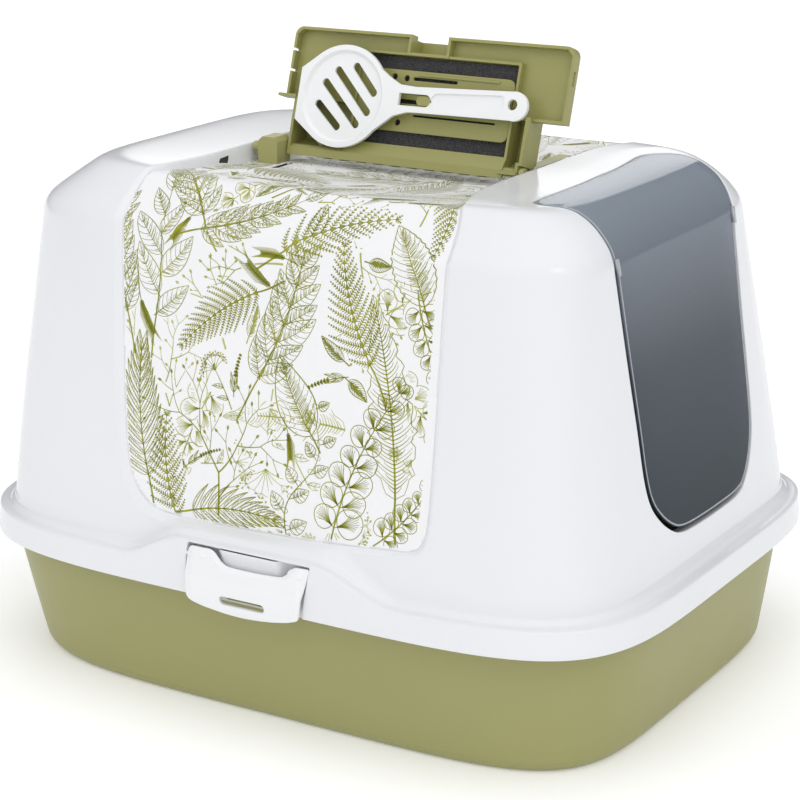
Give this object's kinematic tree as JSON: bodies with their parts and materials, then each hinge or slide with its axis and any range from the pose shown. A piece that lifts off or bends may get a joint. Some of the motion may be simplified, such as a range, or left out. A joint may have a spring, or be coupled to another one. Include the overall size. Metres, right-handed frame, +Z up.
{
  "type": "hooded litter box",
  "caption": "Hooded cat litter box: olive pan, white hood with a botanical panel, smoke swing flap, side clips and a top lid that holds a filter and scoop.",
  "frame": {"origin": "centre of the footprint, on the floor", "axes": "+X along the length towards the door end, +Y across towards the far long side, +Z up"},
  "size_m": [0.572, 0.4592, 0.4798],
  "materials": {
    "white_plastic": "glossy",
    "olive_plastic": "satin",
    "print_film": "white film with olive line art",
    "smoke_plastic": "clear smoke",
    "felt": "carbon felt",
    "steel": "drawn wire"
  },
  "bodies": {
    "pan": {"pan": "olive_plastic", "catch_near": "olive_plastic", "catch_far": "olive_plastic"},
    "hood": {"hood": "white_plastic", "print_near": "print_film", "print_far": "print_film", "door_bracket_near": "white_plastic", "door_bracket_far": "white_plastic", "latch_rod_near": "white_plastic", "latch_rod_far": "white_plastic", "cradle": "olive_plastic", "vent_grille": "olive_plastic", "lid_rod": "steel"},
    "door": {"door_flap": "smoke_plastic", "door_pin_near": "smoke_plastic", "door_pin_far": "smoke_plastic"},
    "clip_near": {"latch_near": "white_plastic"},
    "clip_far": {"latch_far": "white_plastic"},
    "lid": {"lid_tray": "olive_plastic", "filter_pad": "felt", "filter_grate": "olive_plastic", "scoop_clip": "olive_plastic"},
    "scoop": {"scoop": "white_plastic"}
  },
  "joints": [
    {"name": "hood_lift", "type": "slide", "parent": "pan", "child": "hood", "axis": [0, 0, 1], "range_m": [0, 0.25]},
    {"name": "door_swing", "type": "hinge", "parent": "hood", "child": "door", "pos_m": [0.226, 0, 0.346], "axis": [0, 1, 0], "range_deg": [-40, 60]},
    {"name": "clip_near_turn", "type": "hinge", "parent": "hood", "child": "clip_near", "pos_m": [0.004, -0.2215, 0.131], "axis": [-1, 0, 0], "range_deg": [0, 70]},
    {"name": "clip_far_turn", "type": "hinge", "parent": "hood", "child": "clip_far", "pos_m": [0.004, 0.2215, 0.131], "axis": [1, 0, 0], "range_deg": [0, 70]},
    {"name": "lid_hinge", "type": "hinge", "parent": "hood", "child": "lid", "pos_m": [0, -0.01413, 0.38948], "axis": [1, 0, 0], "range_deg": [0, 102]},
    {"name": "scoop_pull", "type": "slide", "parent": "lid", "child": "scoop", "axis": [0, -0.9511, 0.309], "range_m": [0, 0.08]}
  ]
}
